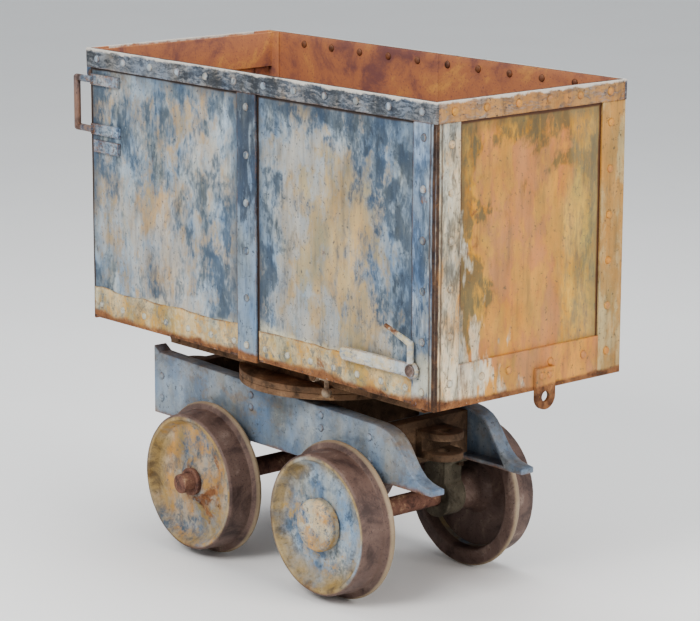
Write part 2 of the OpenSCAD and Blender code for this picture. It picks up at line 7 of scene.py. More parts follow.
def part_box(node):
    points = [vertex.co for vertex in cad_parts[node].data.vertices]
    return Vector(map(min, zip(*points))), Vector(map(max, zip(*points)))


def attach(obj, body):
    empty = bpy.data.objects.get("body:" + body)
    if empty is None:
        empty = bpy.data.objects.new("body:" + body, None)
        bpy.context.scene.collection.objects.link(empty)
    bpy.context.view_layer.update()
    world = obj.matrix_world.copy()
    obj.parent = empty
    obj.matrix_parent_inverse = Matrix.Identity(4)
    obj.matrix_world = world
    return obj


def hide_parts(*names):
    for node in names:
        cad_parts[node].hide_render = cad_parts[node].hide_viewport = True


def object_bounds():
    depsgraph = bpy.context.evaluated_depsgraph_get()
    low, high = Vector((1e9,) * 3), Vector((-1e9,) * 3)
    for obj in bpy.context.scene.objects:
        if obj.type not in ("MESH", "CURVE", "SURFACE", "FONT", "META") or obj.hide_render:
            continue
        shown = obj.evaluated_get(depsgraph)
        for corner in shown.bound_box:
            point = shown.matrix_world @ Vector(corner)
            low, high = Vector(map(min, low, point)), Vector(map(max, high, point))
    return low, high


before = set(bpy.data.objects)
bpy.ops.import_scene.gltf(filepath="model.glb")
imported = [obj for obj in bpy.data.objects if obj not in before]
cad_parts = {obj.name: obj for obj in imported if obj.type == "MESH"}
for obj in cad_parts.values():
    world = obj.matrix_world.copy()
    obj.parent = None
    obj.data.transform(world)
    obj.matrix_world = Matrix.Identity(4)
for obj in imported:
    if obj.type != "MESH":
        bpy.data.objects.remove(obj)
cad_low, cad_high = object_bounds()

# ---- Studio -------------------------------------------------------------------------------
# A pale floor under soft light from a large window-like panel, a weaker one on the other
# side and an even sky, with the camera looking down the near rear corner of the cart.
middle = (Vector(cad_low) + Vector(cad_high)) / 2
scene = bpy.context.scene

floor_mesh = bpy.data.meshes.new("studio_floor")
reach = 40.0
floor_mesh.from_pydata([(-reach, -reach, 0), (reach, -reach, 0), (reach, reach, 0), (-reach, reach, 0)], [],
                       [(0, 1, 2, 3)])
studio_floor = bpy.data.objects.new("studio_floor", floor_mesh)
scene.collection.objects.link(studio_floor)

camera_data = bpy.data.cameras.new("camera")
camera = bpy.data.objects.new("camera", camera_data)
scene.collection.objects.link(camera)
scene.camera = camera
view_azimuth = radians(49.35)
view_elevation = radians(12.36)
view_distance = 7.165
aim = Vector((middle.x - 0.105, 0.0, 0.652))
away = Vector((sin(view_azimuth) * cos(view_elevation), -cos(view_azimuth) * cos(view_elevation),
               sin(view_elevation)))
camera.location = aim + away * view_distance
camera.rotation_euler = (-away).to_track_quat("-Z", "Y").to_euler()
camera_data.sensor_width = 36.0
camera_data.lens = 143.0
camera_data.shift_x = 0.052
camera_data.shift_y = -0.006
camera_data.clip_end = 200.0


def soft_panel(name, place, target, size, power, tint):
    data = bpy.data.lights.new(name, "AREA")
    data.shape = "RECTANGLE"
    data.size, data.size_y = size
    data.energy = power
    data.color = tint
    light = bpy.data.objects.new(name, data)
    scene.collection.objects.link(light)
    light.location = place
    light.rotation_euler = (Vector(place) - Vector(target)).to_track_quat("Z", "Y").to_euler()


soft_panel("key_panel", (1.2, -5.2, 4.6), middle, (3.2, 2.6), 300.0, (1.0, 0.985, 0.96))
soft_panel("warm_panel", (5.4, 0.6, 3.0), middle, (2.6, 2.4), 150.0, (1.0, 0.97, 0.93))
soft_panel("top_panel", (-0.6, 0.8, 5.5), middle, (4.0, 4.0), 120.0, (1.0, 1.0, 1.0))

world = bpy.data.worlds.new("sky")
scene.world = world
scene.view_settings.look = "AgX - Medium High Contrast"
world.use_nodes = True
world.node_tree.nodes["Background"].inputs["Color"].default_value = (0.9, 0.93, 0.96, 1.0)
world.node_tree.nodes["Background"].inputs["Strength"].default_value = 0.62


def put(tree, kind, inputs=None, **settings):
    """A node in a tree, with its settings, and its inputs given as values or as sockets to link."""
    made = tree.nodes.new(kind)
    for key, value in settings.items():
        setattr(made, key, value)
    for key, value in (inputs or {}).items():
        if isinstance(value, bpy.types.NodeSocket):
            tree.links.new(value, made.inputs[key])
        else:
            made.inputs[key].default_value = value
    return made


def here(tree):
    """The point of the surface, in metres."""
    return put(tree, "ShaderNodeTexCoord").outputs["Object"]


def cloud(tree, place, scale, detail, roughness=0.5, distortion=0.0):
    """A cloudy noise: Fac is one value, Color is three that differ."""
    return put(tree, "ShaderNodeTexNoise", {"Vector": place, "Scale": scale, "Detail": detail,
                                            "Roughness": roughness, "Distortion": distortion}).outputs


def blend_colour(tree, amount, under, over):
    return put(tree, "ShaderNodeMix", {0: amount, 6: under, 7: over}, data_type="RGBA").outputs[2]


floor_paint = bpy.data.materials.new("pale_floor")
floor_paint.use_nodes = True
tree = floor_paint.node_tree
mottle = cloud(tree, here(tree), 1.3, 3.0)["Fac"]
floor_tone = blend_colour(tree, mottle, (0.86, 0.86, 0.855, 1), (0.90, 0.90, 0.895, 1))
tree.links.new(floor_tone, tree.nodes["Principled BSDF"].inputs["Base Color"])
tree.nodes["Principled BSDF"].inputs["Roughness"].default_value = 0.8
floor_mesh.materials.append(floor_paint)

# ---- Side frames --------------------------------------------------------------------------
# Two deep cast plates with an inward flange all round, painted pale blue-grey. Their tails
# curve down to a toe behind the rear axle. Decades outdoors have faded the paint to dabs and
# let rust in at edges and feet.


def math(tree, operation, a, b=0.0):
    return put(tree, "ShaderNodeMath", {0: a, 1: b}, operation=operation).outputs[0]


def times(tree, a, b):
    return math(tree, "MULTIPLY", a, b)


def plus(tree, a, b):
    return math(tree, "ADD", a, b)


def minus(tree, a, b):
    return math(tree, "SUBTRACT", a, b)


def vector(tree, operation, a, b):
    made = put(tree, "ShaderNodeVectorMath", {0: a, 1: b}, operation=operation)
    return made.outputs["Value" if operation == "DOT_PRODUCT" else "Vector"]


def alike(tree, value):
    """A vector with the same value three times."""
    return put(tree, "ShaderNodeCombineXYZ", {"X": value, "Y": value, "Z": value}).outputs[0]


def coordinate(tree, axis):
    """X, Y or Z of the point of the surface, in metres."""
    return put(tree, "ShaderNodeSeparateXYZ", {"Vector": here(tree)}).outputs[axis]


def ease(tree, value, low, high):
    """A smooth step from 0 at low to 1 at high."""
    return put(tree, "ShaderNodeMapRange", {"Value": value, "From Min": low, "From Max": high},
               interpolation_type="SMOOTHSTEP").outputs["Result"]


NUMBER, COLOUR, VECTOR = "NodeSocketFloat", "NodeSocketColor", "NodeSocketVector"


def shader_group(name, inputs, outputs):
    tree = bpy.data.node_groups.new(name, "ShaderNodeTree")
    for label, kind, value in inputs:
        made = tree.interface.new_socket(label, in_out="INPUT", socket_type=kind)
        if value is not None:
            made.default_value = value
    for label, kind in outputs:
        tree.interface.new_socket(label, in_out="OUTPUT", socket_type=kind)
    return tree, tree.nodes.new("NodeGroupInput").outputs, tree.nodes.new("NodeGroupOutput").inputs


# Upright dabs, each with a value of its own, softly broken up at their borders
dabs, given, out = shader_group(
    "upright_dabs", [("Size", NUMBER, 0.06), ("Stretch", NUMBER, 3.0), ("Seed", NUMBER, 0.0)],
    [("Value", NUMBER), ("Fine", NUMBER)])
place = here(dabs)
wander = vector(dabs, "MULTIPLY", cloud(dabs, place, 9.0, 4.0, 0.6)["Color"], (0.9, 0.9, 1.9))
shift = put(dabs, "ShaderNodeVectorMath", {0: wander, "Scale": given["Size"]}, operation="SCALE").outputs[0]
spread = math(dabs, "DIVIDE", 1.0, given["Size"])
squat = math(dabs, "DIVIDE", spread, given["Stretch"])
scales = put(dabs, "ShaderNodeCombineXYZ", {"X": spread, "Y": spread, "Z": squat}).outputs[0]
cells = vector(dabs, "MULTIPLY", vector(dabs, "ADD", place, shift), scales)
cells = vector(dabs, "ADD", cells, alike(dabs, given["Seed"]))
patch = put(dabs, "ShaderNodeTexVoronoi", {"Vector": cells, "Scale": 1.0, "Smoothness": 0.55},
            feature="SMOOTH_F1")
own_value = put(dabs, "ShaderNodeSeparateColor", {"Color": patch.outputs["Color"]}).outputs["Red"]
grain = cloud(dabs, cells, 2.6, 7.0, 0.62)["Fac"]
dabs.links.new(plus(dabs, times(dabs, own_value, 0.30), times(dabs, grain, 0.74)), out["Value"])
dabs.links.new(grain, out["Fine"])

# Where an outer edge has been knocked and rubbed: 1 on the edge, broken by noise
edges, given, out = shader_group(
    "edge_wear", [("Width", NUMBER, 0.006), ("Break Up", NUMBER, 30.0)], [("Mask", NUMBER)])
rounded = put(edges, "ShaderNodeBevel", {"Radius": given["Width"]}, samples=6).outputs[0]
unrounded = put(edges, "ShaderNodeNewGeometry").outputs["Normal"]
rub = ease(edges, vector(edges, "DOT_PRODUCT", rounded, unrounded), 0.985, 0.80)
ragged = ease(edges, cloud(edges, here(edges), given["Break Up"], 5.0, 0.7)["Fac"], 0.38, 0.56)
edges.links.new(times(edges, rub, ragged), out["Mask"])

# Rust in three tones, with its pitting as a height
rusting, given, out = shader_group(
    "rust_tones", [("Dark", COLOUR, None), ("Middle", COLOUR, None), ("Bright", COLOUR, None),
                   ("Scale", NUMBER, 14.0)],
    [("Color", COLOUR), ("Height", NUMBER)])
place = here(rusting)
broad = cloud(rusting, place, given["Scale"], 8.0, 0.68, 0.5)["Fac"]
speck = cloud(rusting, place, 210.0, 3.0, 0.6)["Fac"]
tone = blend_colour(rusting, ease(rusting, broad, 0.34, 0.54), given["Dark"], given["Middle"])
tone = blend_colour(rusting, ease(rusting, broad, 0.54, 0.72), tone, given["Bright"])
tone = blend_colour(rusting, ease(rusting, speck, 0.56, 0.74), tone, given["Dark"])
rusting.links.new(tone, out["Color"])
rusting.links.new(plus(rusting, broad, times(rusting, speck, 0.5)), out["Height"])

# Faded paint in tones laid by dabs: the middle of a plate worn to tan primer, its borders still
# blue, a pale band of chips along the foot, rain streaks, rust at edges and feet, and painted
# shade with dirt along the seams
painting, given, out = shader_group(
    "old_paint",
    [("Light", COLOUR, None), ("Middle", COLOUR, None), ("Deep", COLOUR, None), ("Bare", COLOUR, None),
     ("Pale", COLOUR, None), ("Rust Dark", COLOUR, None), ("Rust Middle", COLOUR, None),
     ("Rust Bright", COLOUR, None), ("Dab Size", NUMBER, 0.06), ("Stretch", NUMBER, 3.0),
     ("Seed", NUMBER, 0.0), ("Bare Share", NUMBER, 0.3), ("Rust Share", NUMBER, 0.2),
     ("Deep Share", NUMBER, 0.3), ("Low", VECTOR, None), ("High", VECTOR, None), ("Across", VECTOR, None),
     ("Centre Bare", NUMBER, 0.0), ("Border", NUMBER, 0.18), ("Foot", NUMBER, 0.0),
     ("Foot Height", NUMBER, 0.02), ("Pale Height", NUMBER, 0.0), ("Pale Share", NUMBER, 0.0),
     ("Streaks", NUMBER, 0.5), ("Edge Rust", NUMBER, 1.0), ("Seam Dirt", NUMBER, 0.0),
     ("Tints", NUMBER, 1.3)],
    [("Color", COLOUR), ("Roughness", NUMBER), ("Height", NUMBER)])
coarse = put(painting, "ShaderNodeGroup", {"Seed": given["Seed"]}, node_tree=dabs)
fine = put(painting, "ShaderNodeGroup", {"Seed": plus(painting, given["Seed"], 17.3)}, node_tree=dabs)
for made, share in ((coarse, 1.0), (fine, 0.34)):
    painting.links.new(times(painting, given["Dab Size"], share), made.inputs["Size"])
    painting.links.new(given["Stretch"], made.inputs["Stretch"])
small_dabs = fine.outputs["Value"]
place = here(painting)
blot = cloud(painting, place, 3.1, 5.0, 0.6, 0.8)["Fac"]
sway = minus(painting, blot, 0.5)

# How far a point lies from the nearest border of its plate, across and from the top
from_low = vector(painting, "SUBTRACT", place, given["Low"])
from_high = vector(painting, "SUBTRACT", given["High"], place)
inset = math(painting, "MINIMUM", vector(painting, "DOT_PRODUCT", from_low, given["Across"]),
             vector(painting, "DOT_PRODUCT", from_high, given["Across"]))
under_rim = put(painting, "ShaderNodeSeparateXYZ", {"Vector": from_high}).outputs["Z"]
to_seam = math(painting, "MINIMUM", inset, under_rim)
wide_sway = times(painting, sway, 0.5)
centre = times(painting, ease(painting, plus(painting, inset, wide_sway), 0.02, given["Border"]),
               ease(painting, plus(painting, under_rim, wide_sway), 0.0, given["Border"]))

# The two upper tones in broad patches, then dark dabs, then dabs worn down to the primer
broad = plus(painting, times(painting, coarse.outputs["Value"], 0.72), times(painting, blot, 0.32))
colour = blend_colour(painting, ease(painting, broad, 0.42, 0.62), given["Middle"], given["Light"])
deep_at = plus(painting, times(painting, small_dabs, 0.55), times(painting, blot, 0.5))
deep_at = minus(painting, deep_at, times(painting, given["Deep Share"], 0.9))
deep_at = plus(painting, deep_at, times(painting, centre, times(painting, given["Centre Bare"], 0.10)))
deep_mask = ease(painting, deep_at, 0.31, 0.13)
colour = blend_colour(painting, times(painting, deep_mask, 0.80), colour, given["Deep"])
bare_noise = cloud(painting, place, 4.4, 6.0, 0.62)["Fac"]
bare_at = plus(painting, times(painting, small_dabs, 0.45), times(painting, bare_noise, 0.6))
bare_at = plus(painting, bare_at, times(painting, given["Bare Share"], 0.55))
bare_at = plus(painting, bare_at, times(painting, centre, times(painting, given["Centre Bare"], 0.24)))
thin = plus(painting, 0.45, times(painting, ease(painting, broad, 0.60, 0.44), 0.5))
bare_mask = times(painting, ease(painting, bare_at, 0.63, 0.82), thin)
colour = blend_colour(painting, bare_mask, colour, given["Bare"])

# Rain and brush streaks, narrow and upright
narrow = vector(painting, "MULTIPLY", place, (60.0, 60.0, 5.0))
streak = cloud(painting, narrow, 1.0, 5.0, 0.65)["Fac"]
for tone, low, high, strength in (("Deep", 0.50, 0.30, 0.55), ("Light", 0.54, 0.72, 0.5)):
    streaks = times(painting, ease(painting, streak, low, high), given["Streaks"])
    colour = blend_colour(painting, times(painting, streaks, strength), colour, given[tone])

# Patches where one old coat shows through another: paler or darker, warmer or cooler
moved_place = vector(painting, "ADD", place, alike(painting, given["Seed"]))
patch_place = vector(painting, "MULTIPLY", moved_place, (15.0, 15.0, 6.5))
coats = cloud(painting, patch_place, 1.0, 7.0, 0.62)["Color"]
coats = put(painting, "ShaderNodeSeparateColor", {"Color": coats})
shade = times(painting, minus(painting, coats.outputs["Red"], 0.5), given["Tints"])
warmth = times(painting, minus(painting, coats.outputs["Green"], 0.5), given["Tints"])
warm = put(painting, "ShaderNodeVectorMath", {0: (0.85, 0.2, -0.6), "Scale": warmth}, operation="SCALE")
factor = vector(painting, "ADD", warm.outputs[0], alike(painting, plus(painting, shade, 1.0)))
colour = vector(painting, "MULTIPLY", colour, factor)

# The foot: pale chipped paint up to a wavering line, and rust creeping from the lower edge
rust_noise = cloud(painting, place, 7.5, 9.0, 0.66, 0.3)["Fac"]
above = minus(painting, coordinate(painting, "Z"), given["Foot"])
ripple = times(painting, minus(painting, rust_noise, 0.5), 0.10)
waver = plus(painting, plus(painting, above, times(painting, sway, 0.10)), ripple)
pale_at = minus(painting, given["Pale Height"], waver)
pale_mask = times(painting, ease(painting, pale_at, -0.010, 0.016), given["Pale Share"])
pale_mask = times(painting, pale_mask, ease(painting, small_dabs, 0.26, 0.50))
colour = blend_colour(painting, pale_mask, colour, given["Pale"])
tones = put(painting, "ShaderNodeGroup", {"Dark": given["Rust Dark"], "Middle": given["Rust Middle"],
                                          "Bright": given["Rust Bright"], "Scale": 22.0}, node_tree=rusting)
worn = put(painting, "ShaderNodeGroup", {"Width": 0.007, "Break Up": 34.0}, node_tree=edges).outputs["Mask"]
spots = ease(painting, plus(painting, rust_noise, times(painting, given["Rust Share"], 0.4)), 0.66, 0.74)
creep_at = minus(painting, math(painting, "DIVIDE", above, given["Foot Height"]),
                 times(painting, rust_noise, 2.4))
rust_mask = math(painting, "MAXIMUM", spots, times(painting, worn, given["Edge Rust"]))
rust_mask = math(painting, "MAXIMUM", rust_mask, ease(painting, creep_at, -0.1, -0.8))
colour = blend_colour(painting, rust_mask, colour, tones.outputs["Color"])

# Fine chips to the dark and the pale coat, and painted shade with dirt along the seams: a soft
# wide band of the deep tone and a narrow line of dark rust
chips = cloud(painting, place, 95.0, 4.0, 0.75)["Fac"]
chip_mask = times(painting, ease(painting, chips, 0.58, 0.68), 0.8)
colour = blend_colour(painting, chip_mask, colour, given["Deep"])
pale_chips = times(painting, ease(painting, chips, 0.36, 0.30), 0.5)
colour = blend_colour(painting, pale_chips, colour, given["Light"])
ragged_seam = plus(painting, to_seam, times(painting, sway, 0.012))
seam_shade_and_stain = times(painting, ease(painting, ragged_seam, 0.050, 0.0), given["Seam Dirt"])
seam_shade_and_stain = times(painting, seam_shade_and_stain, ease(painting, small_dabs, 0.30, 0.62))
colour = blend_colour(painting, times(painting, seam_shade_and_stain, 0.6), colour, given["Deep"])
seam_shadow_and_dirt = times(painting, ease(painting, ragged_seam, 0.010, 0.004), given["Seam Dirt"])
colour = blend_colour(painting, seam_shadow_and_dirt, colour, given["Rust Dark"])
painting.links.new(colour, out["Color"])
painting.links.new(plus(painting, 0.52, times(painting, rust_mask, 0.32)), out["Roughness"])

# Brush marks and pitting stand up, chips and rust lie lower
relief = plus(painting, times(painting, coarse.outputs["Fine"], 0.5),
              times(painting, tones.outputs["Height"], plus(painting, 0.25, rust_mask)))
relief = minus(painting, relief, times(painting, chip_mask, 0.6))
relief = plus(painting, relief, times(painting, pale_mask, 0.4))
painting.links.new(minus(painting, relief, times(painting, rust_mask, 0.25)), out["Height"])

PALE_CHIPS = (0.56, 0.52, 0.38, 1)
RUST = {"Rust Dark": (0.085, 0.035, 0.018, 1), "Rust Middle": (0.23, 0.105, 0.048, 1),
        "Rust Bright": (0.43, 0.22, 0.09, 1)}


def coat_of_paint(tree, seed, values):
    """The old_paint group in a material; a plate with no zone of its own has no borders in reach."""
    chosen = dict(RUST, Seed=seed, Low=(-9, -9, -9), High=(9, 9, 9), Across=(1, 0, 0), Pale=PALE_CHIPS)
    chosen.update({key.replace("_", " "): value for key, value in values.items()})
    return put(tree, "ShaderNodeGroup", chosen, node_tree=painting)


def old_paint(name, seed, bump=0.35, **values):
    """A material of faded paint over rust; values are inputs of the old_paint group."""
    made = bpy.data.materials.new(name)
    made.use_nodes = True
    own = made.node_tree
    shader = own.nodes["Principled BSDF"]
    finish = coat_of_paint(own, seed, values).outputs
    lumps = put(own, "ShaderNodeBump", {"Height": finish["Height"], "Strength": bump, "Distance": 0.004})
    own.links.new(finish["Color"], shader.inputs["Base Color"])
    own.links.new(finish["Roughness"], shader.inputs["Roughness"])
    own.links.new(lumps.outputs["Normal"], shader.inputs["Normal"])
    shader.inputs["Specular IOR Level"].default_value = 0.32
    return made


MM = 0.001
sharp_turn = radians(32)
weld = 0.00002


def finish_piece(node, body, material, round_mm, cell=0.0, batter=False, rough_mm=0.0, smooth=40):
    """The CAD node's shape with softened edges, cut into cells and knocked about where asked."""
    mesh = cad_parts[node].data.copy()
    mesh.name = node + "_worn"
    mesh.materials.clear()
    mesh.materials.append(material)
    work = bmesh.new()
    work.from_mesh(mesh)
    bmesh.ops.remove_doubles(work, verts=work.verts, dist=weld)
    bmesh.ops.dissolve_limit(work, angle_limit=radians(1.0), verts=work.verts, edges=work.edges)
    if round_mm > 0.0:
        sharp = [edge for edge in work.edges
                 if len(edge.link_faces) == 2 and edge.calc_face_angle(0.0) > sharp_turn]
        bmesh.ops.bevel(work, geom=sharp, offset=round_mm * MM, offset_type="OFFSET", segments=2,
                        profile=0.6, affect="EDGES", clamp_overlap=True)
    if cell > 0.0:
        low, high = (Vector(corner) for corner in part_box(node))
        for axis in range(3):
            steps = int((high[axis] - low[axis]) / cell)
            for step in range(1, steps + 1):
                cut = Vector((0.0, 0.0, 0.0))
                cut[axis] = low[axis] + (high[axis] - low[axis]) * step / (steps + 1)
                facing = Vector((0.0, 0.0, 0.0))
                facing[axis] = 1.0
                everything = work.verts[:] + work.edges[:] + work.faces[:]
                bmesh.ops.bisect_plane(work, geom=everything, plane_co=cut, plane_no=facing, dist=0.00001)
    bmesh.ops.triangulate(work, faces=[face for face in work.faces if len(face.verts) > 4])
    if batter:
        for vert in work.verts:
            vert.co += battering(vert.co)
    if rough_mm > 0.0:
        work.normal_update()
        for vert in work.verts:
            bump = noise.fractal(vert.co * 26.0, 1.0, 2.0, 3)
            vert.co += vert.normal * (min(bump, 0.0) * rough_mm * MM)
    work.to_mesh(mesh)
    work.free()
    mesh.shade_smooth()
    mesh.set_sharp_from_angle(angle=radians(smooth))
    piece = bpy.data.objects.new(node + "_worn", mesh)
    scene.collection.objects.link(piece)
    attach(piece, body)
    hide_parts(node)
    return piece


frame_paint = old_paint(
    "frame_blue_grey", 3.0, Light=(0.245, 0.29, 0.335, 1), Middle=(0.145, 0.185, 0.235, 1),
    Deep=(0.075, 0.09, 0.11, 1), Bare=(0.21, 0.165, 0.12, 1), Dab_Size=0.11, Stretch=0.7, Bare_Share=0.22,
    Rust_Share=0.04, Deep_Share=0.14, Foot=0.29, Foot_Height=0.03, Streaks=0.25)
for side in ("near", "far"):
    finish_piece("side_frame_" + side, "truck", frame_paint, round_mm=3.0, cell=0.06,
                 rough_mm=1.0)
finish_piece("frame_bolts", "truck", frame_paint, round_mm=0.0)

# ---- Cross members, draw pockets and axle boxes -------------------------------------------
# Rusted iron between the frames, in the shade of the box: beams, pockets for the coupling
# links, and the boxes that hold the fixed axles. The rust of beams and pockets is painted darker, as shade.


def bare_rust(name, dark, middle, bright, scale=14.0, bump=0.5, roughness=0.82):
    """A material of rusted iron with no paint left."""
    made = bpy.data.materials.new(name)
    made.use_nodes = True
    own = made.node_tree
    shader = own.nodes["Principled BSDF"]
    tones = put(own, "ShaderNodeGroup", {"Dark": dark, "Middle": middle, "Bright": bright, "Scale": scale},
                node_tree=rusting).outputs
    rubbed = put(own, "ShaderNodeGroup", {"Width": 0.005, "Break Up": 45.0}, node_tree=edges).outputs["Mask"]
    colour = blend_colour(own, times(own, rubbed, 0.7), tones["Color"], bright)
    lumps = put(own, "ShaderNodeBump", {"Height": tones["Height"], "Strength": bump, "Distance": 0.003})
    own.links.new(colour, shader.inputs["Base Color"])
    own.links.new(lumps.outputs["Normal"], shader.inputs["Normal"])
    shader.inputs["Roughness"].default_value = roughness
    shader.inputs["Specular IOR Level"].default_value = 0.3
    return made


# The rust of the beams, pockets, pin and bolts is painted darker than its own tones, as shade
rust_with_painted_shade = bare_rust(
    "rust_darkened_as_shade", (0.035, 0.022, 0.014, 1), (0.10, 0.062, 0.038, 1), (0.22, 0.145, 0.09, 1))
olive_iron = bare_rust(
    "olive_iron", (0.045, 0.038, 0.027, 1), (0.115, 0.10, 0.074, 1), (0.22, 0.19, 0.14, 1))
for name in ("transoms", "draw_pocket_front", "draw_pocket_rear", "axle_box_bolts", "king_pin"):
    finish_piece(name, "truck", rust_with_painted_shade, round_mm=2.5 if name != "axle_box_bolts" else 0.8)
finish_piece("axle_boxes", "truck", olive_iron, round_mm=3.0, rough_mm=0.8)
axle_rust = bare_rust(
    "axle_rust", (0.070, 0.036, 0.032, 1), (0.18, 0.092, 0.066, 1), (0.43, 0.29, 0.18, 1), 30.0)
for name in ("axle_front", "axle_rear", "axle_collars"):
    finish_piece(name, "truck", axle_rust, round_mm=2.0)

# ---- Turntable and saddle -----------------------------------------------------------------
# Two thick round plates on the king pin, and over them the sills and crossbars that carry
# the box and its tipping hinge. The lock lever hangs from a stud on the near sill.
turn_iron = bare_rust(
    "turntable_iron", (0.05, 0.03, 0.018, 1), (0.17, 0.10, 0.058, 1), (0.36, 0.23, 0.13, 1))
finish_piece("turntable_base", "truck", turn_iron, round_mm=2.0)
for name in ("turntable_top", "saddle_sill_near", "saddle_sill_far", "saddle_crossbars", "tip_hinge_pin",
             "lock_stud"):
    finish_piece(name, "saddle", turn_iron, round_mm=2.0)
lock_iron = bare_rust(
    "lock_iron", (0.13, 0.09, 0.06, 1), (0.34, 0.27, 0.2, 1), (0.55, 0.47, 0.38, 1), 40.0)
finish_piece("lock_lever", "lock", lock_iron, round_mm=0.0)

# ---- Box plates ---------------------------------------------------------------------------
# Rolled steel plate, riveted at its seams. The sides keep their slate-blue paint, faded in
# upright streaks, and the rear end has gone over to ochre rust.
box_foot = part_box("side_near_front")[0].z
plate_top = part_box("side_near_front")[1].z
box_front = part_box("side_near_front")[0].x
box_half_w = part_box("side_far_front")[1].y
box_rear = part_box("rear_end_plate")[1].x
rim_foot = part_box("rim_rear")[0].z
strap_low, strap_high = (corner.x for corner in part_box("seam_strap_near"))
angle_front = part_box("corner_angle_near")[0].x
angle_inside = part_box("corner_angle_near")[1].y
skin = 0.03
bulge_mm = 2.2
dent_mm = 1.3
end_share = 1.4


def battering(point):
    """How far loads and knocks have pushed in a point of the box: dents of a millimetre or two."""
    inward = Vector((0.0, 0.0, 0.0))
    rise = min(max((point.z - box_foot) / (plate_top - box_foot), 0.0), 1.0)
    slack = sin(pi * rise) ** 0.6 if 0.0 < rise < 1.0 else 0.0
    wave = noise.noise(Vector((point.x * 2.3, point.y * 1.1, point.z * 2.7)))
    dent = noise.noise(Vector((point.x * 6.1 + 9.0, point.y * 2.0, point.z * 5.3)))
    amount = (bulge_mm * min(wave, 0.0) * slack + dent_mm * min(dent, 0.0)) * MM
    if abs(point.y) > box_half_w - skin:
        inward.y = amount * (1.0 if point.y > 0.0 else -1.0)
    if point.x > box_rear - skin:
        inward.x = amount * end_share
    return inward


def side_zone(start, end):
    """The part of a side plate left in sight by straps and rim, for the zones of its paint and the painted
    shade with dirt along its seams.
    """
    return {"Low": (start, -1, 0), "High": (end, 1, rim_foot), "Across": (1, 0, 0), "Seam Dirt": 1.0}


# The end plate between its corner angles, with painted shade and dirt along its seams
END_ZONE = {"Low": (0, angle_inside, 0), "High": (0, -angle_inside, rim_foot), "Across": (0, 1, 0),
            "Seam Dirt": 1.0}
FRONT_SIDE = dict(
    Light=(0.325, 0.39, 0.445, 1), Middle=(0.16, 0.21, 0.26, 1), Deep=(0.045, 0.065, 0.092, 1),
    Bare=(0.39, 0.275, 0.145, 1), Rust_Dark=(0.040, 0.024, 0.018, 1), Bare_Share=0.22, Centre_Bare=0.4,
    Border=0.14, Rust_Share=0.03, Deep_Share=0.36, Foot=box_foot, Foot_Height=0.020, Pale_Height=0.085,
    Pale_Share=0.85, Dab_Size=0.075, Stretch=2.1, Streaks=0.55)
REAR_SIDE = dict(
    FRONT_SIDE, Light=(0.28, 0.35, 0.42, 1), Middle=(0.13, 0.182, 0.248, 1), Deep=(0.032, 0.048, 0.072, 1),
    Bare=(0.38, 0.285, 0.15, 1), Bare_Share=0.12, Centre_Bare=1.0, Border=0.20, Dab_Size=0.065)
END_OCHRE = dict(
    Light=(0.56, 0.30, 0.050, 1), Middle=(0.42, 0.18, 0.017, 1), Deep=(0.10, 0.095, 0.060, 1),
    Bare=(0.44, 0.20, 0.085, 1), Bare_Share=0.10, Centre_Bare=1.2, Border=0.09,
    Rust_Share=0.0, Deep_Share=0.36, Foot=box_foot, Foot_Height=0.012,
    Dab_Size=0.055, Stretch=2.4, Streaks=0.6, Edge_Rust=0.5, Tints=1.0)
# The red-brown of the ore space, never painted
ORE_RUST = dict(
    Dark=(0.20, 0.095, 0.088, 1), Middle=(0.41, 0.18, 0.095, 1), Bright=(0.58, 0.30, 0.10, 1), Scale=7.5)


def faces(tree, direction, low, high):
    """1 where the surface looks along the direction, and 0 where it looks away."""
    seen = put(tree, "ShaderNodeNewGeometry").outputs["True Normal"]
    turned = put(tree, "ShaderNodeVectorTransform", {"Vector": seen}, vector_type="NORMAL",
                 convert_from="WORLD", convert_to="OBJECT")
    return ease(tree, vector(tree, "DOT_PRODUCT", turned.outputs[0], direction), low, high)


def cover(material, mask, colour):
    """Shows the colour over what the material shows already, where the mask is 1."""
    own = material.node_tree
    base = own.nodes["Principled BSDF"].inputs["Base Color"]
    own.links.new(blend_colour(own, mask, base.links[0].from_socket, colour), base)
    return material


def two_faced(outside, inward_side):
    """The outside finish, and the rust of the ore space on faces that look inward."""
    own = outside.node_tree
    tones = put(own, "ShaderNodeGroup", ORE_RUST, node_tree=rusting)
    return cover(outside, faces(own, inward_side, 0.6, 0.8), tones.outputs["Color"])


ANGLE_CREAM = dict(
    Light=(0.60, 0.56, 0.46, 1), Middle=(0.43, 0.41, 0.33, 1), Deep=(0.10, 0.085, 0.065, 1),
    Bare=(0.46, 0.25, 0.07, 1), Bare_Share=0.22, Rust_Share=0.10, Deep_Share=0.30, Dab_Size=0.035,
    Stretch=3.8, Foot=box_foot, Foot_Height=0.02, Streaks=0.7)


def lay_over(under, seed, mask_of, **values):
    """Adds a second paint to a finished material where the mask is 1."""
    own = under.node_tree
    return cover(under, mask_of(own), coat_of_paint(own, seed, values).outputs["Color"])


def cream_corner(own):
    """Cream undercoat left in splashes at the near foot of the rear end."""
    across = minus(own, coordinate(own, "Y"), angle_inside)
    rise = minus(own, coordinate(own, "Z"), box_foot)
    away = plus(own, across, times(own, rise, 0.42))
    upright = vector(own, "MULTIPLY", here(own), (28.0, 28.0, 9.0))
    torn = minus(own, cloud(own, upright, 1.0, 6.0)["Fac"], 0.5)
    away = plus(own, away, times(own, torn, 0.55))
    return times(own, ease(own, away, 0.15, 0.11), 0.85)


def olive_border(own):
    """The far border of the rear end, where olive and yellow paint has held."""
    upright = vector(own, "MULTIPLY", here(own), (16.0, 16.0, 4.0))
    torn = cloud(own, upright, 1.0, 5.0)["Fac"]
    edge = plus(own, coordinate(own, "Y"), times(own, torn, 0.16))
    start = -angle_inside * 0.52 + 0.08
    return times(own, ease(own, edge, start - 0.02, start + 0.02), 0.75)


